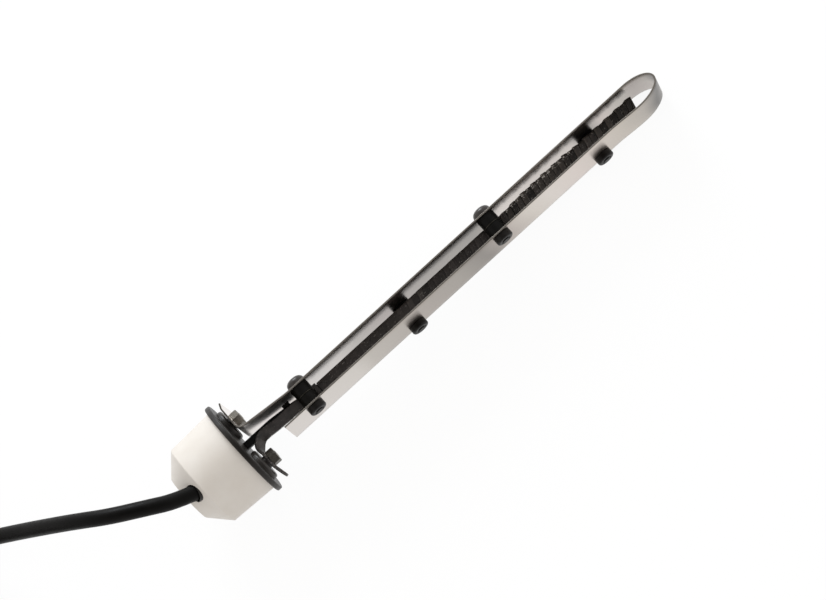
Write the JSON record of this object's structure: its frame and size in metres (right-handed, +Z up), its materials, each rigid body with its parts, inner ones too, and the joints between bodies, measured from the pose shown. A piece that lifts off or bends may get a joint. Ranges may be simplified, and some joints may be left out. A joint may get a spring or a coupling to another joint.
{
  "type": "submersible aquarium heater",
  "caption": "Open-element immersion heater: wound bar held in a bent steel strip by screwed clips, two-terminal seal disc, rear cap and cord.",
  "frame": {"origin": "bottom centre of the heater's box as it lies on the floor, without the cord, coil and plug", "axes": "+X along the element from the cap towards the tip, +Z up off the floor, +Y from the feed terminal to the return terminal"},
  "size_m": [0.5783, 0.1012, 0.0571],
  "materials": {
    "cap_plastic": "satin moulded off-white",
    "seal_rubber": "smooth black with a slight gloss",
    "washer_black": "smooth black",
    "spacer_brown": "dark brown-black",
    "nut_steel": "dull grey steel",
    "stud_steel": "turned steel",
    "strip_steel": "polished spring steel strip",
    "strap_dark": "dark oxidised strap",
    "stem_dark": "near-black",
    "core_dark": "dark bar",
    "sleeve_dark": "dark brown-black sleeve",
    "winding_dark": "dark wrapped tape",
    "clip_black": "black moulded",
    "plate_plastic": "natural insulating board",
    "clamp_plastic": "moulded",
    "brass": "plain",
    "tin": "tinned",
    "lead_brown": "brown insulation",
    "lead_blue": "blue insulation",
    "cord_rubber": "black cord sheath, slight sheen",
    "plug_rubber": "black moulded",
    "pin_plated": "plated pins"
  },
  "bodies": {
    "root": {"cap_housing": "cap_plastic", "centre_stem": "stem_dark", "clamp_screws": "tin", "clip_nut_1": "clip_black", "clip_nut_2": "clip_black", "clip_nut_3": "clip_black", "clip_nut_4": "clip_black", "clip_screw_1": "clip_black", "clip_screw_2": "clip_black", "clip_screw_3": "clip_black", "clip_screw_4": "clip_black", "cord_coil": "cord_rubber", "cord_grommet": "seal_rubber", "cord_tube": "cord_rubber", "element_core": "core_dark", "element_sleeve": "sleeve_dark", "element_winding": "winding_dark", "feed_back_nut": "brass", "feed_clamp_nut": "nut_steel", "feed_lead": "lead_brown", "feed_lock_nut": "brass", "feed_ring_terminal": "tin", "feed_spacer_nut": "spacer_brown", "feed_strap": "strap_dark", "feed_stud": "stud_steel", "feed_washer": "washer_black", "hairpin_strip": "strip_steel", "plug_body": "plug_rubber", "plug_pins": "pin_plated", "return_back_nut": "brass", "return_clamp_nut": "nut_steel", "return_lead": "lead_blue", "return_lock_nut": "brass", "return_ring_terminal": "tin", "return_spacer_nut": "spacer_brown", "return_stud": "stud_steel", "return_washer": "washer_black", "seal_flange": "seal_rubber", "spacer_bush_1": "clip_black", "spacer_bush_2": "clip_black", "spacer_bush_3": "clip_black", "spacer_bush_4": "clip_black", "stem_collar": "clip_black", "strain_clamp_lower": "clamp_plastic", "strain_clamp_upper": "clamp_plastic", "terminal_plate": "plate_plastic"}
  },
  "joints": []
}
